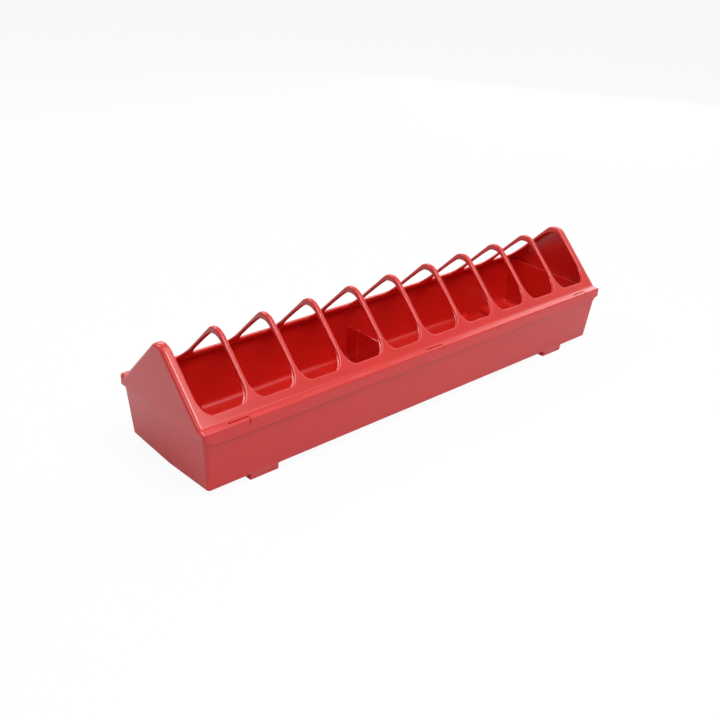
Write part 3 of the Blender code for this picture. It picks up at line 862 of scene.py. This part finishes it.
def studio_floor(look):
    """Matt painted board: pale and even, so that it shows white and keeps a faint shadow."""
    material = bpy.data.materials.new("matt_white_board")
    material.use_nodes = True
    tree = material.node_tree
    tree.nodes.clear()
    board = add(tree, "ShaderNodeBsdfDiffuse", {"Color": look.floor})
    white = add(tree, "ShaderNodeEmission", {"Color": WHITE, "Strength": 1.0})
    share = add(tree, "ShaderNodeMath", {0: seen_directly(tree, FLOOR_IN_GLOSS), 1: FLOOR_WHITE},
                operation="MULTIPLY")
    mix = add(tree, "ShaderNodeMixShader", {
        0: share.outputs[0], 1: board.outputs[0], 2: white.outputs[0]})
    add(tree, "ShaderNodeOutputMaterial", {"Surface": mix.outputs[0]})
    return material


def studio_world():
    """Even faint light from all round, and plain white for what looks at the world directly."""
    world = bpy.data.worlds.new("studio_world")
    world.use_nodes = True
    tree = world.node_tree
    tree.nodes.clear()
    room = add(tree, "ShaderNodeBackground", {"Color": WHITE, "Strength": WORLD_LEVEL})
    white = add(tree, "ShaderNodeBackground", {"Color": WHITE, "Strength": 1.0})
    mix = add(tree, "ShaderNodeMixShader", {
        0: seen_directly(tree, 1.0), 1: room.outputs[0], 2: white.outputs[0]})
    add(tree, "ShaderNodeOutputWorld", {"Surface": mix.outputs[0]})
    return world


# The lamps and the camera
def direction(azimuth, elevation):
    """Unit vector from the object: azimuth 0 is towards -Y, and 90 degrees towards +X."""
    return Vector((math.sin(azimuth) * math.cos(elevation), -math.cos(azimuth) * math.cos(elevation),
                   math.sin(elevation)))


def add_lamp(name, azimuth, elevation, distance, size, power):
    """Square area lamp that looks at the object."""
    lamp = bpy.data.lights.new(name, "AREA")
    lamp.shape = "SQUARE"
    lamp.size = size
    lamp.energy = power
    holder = bpy.data.objects.new(name, lamp)
    bpy.context.scene.collection.objects.link(holder)
    back = direction(math.radians(azimuth), math.radians(elevation))
    holder.location = back * distance
    holder.rotation_mode = "QUATERNION"
    holder.rotation_quaternion = back.to_track_quat("Z", "Y")


def add_camera():
    """Camera at the photograph's angle, with its slight roll."""
    data = bpy.data.cameras.new("camera")
    data.lens = CAMERA_LENS
    data.sensor_width = SENSOR_WIDTH
    data.clip_start = CLIP_START
    data.clip_end = CLIP_END
    camera = bpy.data.objects.new("camera", data)
    bpy.context.scene.collection.objects.link(camera)
    back = direction(CAMERA_AZIMUTH, CAMERA_ELEVATION)
    right = (-back).cross(Vector((0.0, 0.0, 1.0))).normalized()
    up = right.cross(-back)
    rolled_right = right * math.cos(CAMERA_ROLL) + up * math.sin(CAMERA_ROLL)
    rolled_up = up * math.cos(CAMERA_ROLL) - right * math.sin(CAMERA_ROLL)
    turn = Matrix((rolled_right, rolled_up, back)).transposed()
    camera.matrix_world = Matrix.LocRotScale(CAMERA_TARGET + back * CAMERA_DISTANCE, turn, None)
    bpy.context.scene.camera = camera


class TROUGH_OT_tub(bpy.types.Operator):
    """Build the tub with its feet and partition"""
    bl_idname = "trough.tub"
    bl_label = "Tub"

    def execute(self, context):
        sizes = context.scene.trough_tub
        tub = tub_outside(sizes)
        foot_x = HALF_LENGTH - sizes.foot_from_end
        steps = [(foot_block(sizes, x), "UNION") for x in (-foot_x, foot_x)]
        steps.append((tub_hollow(sizes), "DIFFERENCE"))
        steps += [(foot_channel(sizes, x), "DIFFERENCE") for x in (-foot_x, foot_x)]
        steps.append((partition(sizes), "UNION"))
        steps += [(boss(sizes, y), "UNION") for y in (-sizes.boss_place, sizes.boss_place)]
        cut_and_join(tub, steps)
        material = polypropylene("red_moulded_polypropylene_tub", context.scene.trough_look)
        finish_piece(tub, "trough", "tub", material)
        return {"FINISHED"}


class TROUGH_OT_lid(bpy.types.Operator):
    """Build the grille lid with its hoops, gables and holding tabs"""
    bl_idname = "trough.lid"
    bl_label = "Grille lid"

    def execute(self, context):
        sizes = context.scene.trough_lid
        lid = mesh_piece("lid_moulding", lid_grids(sizes))
        cut_and_join(lid, tab_tools(sizes, context.scene.trough_tabs))
        material = polypropylene("red_moulded_polypropylene_lid", context.scene.trough_look)
        finish_piece(lid, "grille_lid", "lid", material)
        return {"FINISHED"}


class TROUGH_OT_stage(bpy.types.Operator):
    """Build the floor, the soft studio light and the camera"""
    bl_idname = "trough.stage"
    bl_label = "Stage"

    def execute(self, context):
        scene = context.scene
        side = np.array([-FLOOR_REACH, FLOOR_REACH])
        y, x = np.meshgrid(side, side, indexing="ij")
        corners = np.stack([x, y, np.full_like(x, TUB_LOW.z - FLOOR_DROP)], axis=-1)
        floor = mesh_piece("studio_floor", [(corners, False)])
        floor.data.materials.append(studio_floor(scene.trough_look))
        scene.world = studio_world()
        for lamp in LAMPS:
            add_lamp(*lamp)
        add_camera()
        scene.view_settings.view_transform = "Standard"
        return {"FINISHED"}


PIECES = (TROUGH_OT_stage, TROUGH_OT_tub, TROUGH_OT_lid)
GROUPS = {"trough_lid": TroughLidSizes, "trough_tabs": TroughTabSizes, "trough_tub": TroughTubSizes,
          "trough_look": TroughLook}


class TROUGH_PT_panel(bpy.types.Panel):
    """Lists the pieces and their sizes"""
    bl_idname = "TROUGH_PT_panel"
    bl_label = "Feed trough"
    bl_space_type = "VIEW_3D"
    bl_region_type = "UI"
    bl_category = "Feed trough"

    def draw(self, context):
        for operator in PIECES:
            self.layout.operator(operator.bl_idname)
        for group in GROUPS:
            values = getattr(context.scene, group)
            box = self.layout.box()
            for key in values.__annotations__:
                box.prop(values, key)


CLASSES = (*GROUPS.values(), *PIECES, TROUGH_PT_panel)


def register():
    """Register the classes and give every scene its sizes and colours."""
    for item in CLASSES:
        bpy.utils.register_class(item)
    for name, group in GROUPS.items():
        setattr(bpy.types.Scene, name, bpy.props.PointerProperty(type=group))


def unregister():
    """Take back what register gave."""
    for name in GROUPS:
        delattr(bpy.types.Scene, name)
    for item in reversed(CLASSES):
        bpy.utils.unregister_class(item)


def main():
    """Build the stage and the two pieces."""
    register()
    bpy.ops.trough.stage()
    bpy.ops.trough.tub()
    bpy.ops.trough.lid()


if __name__ == "__main__":
    main()
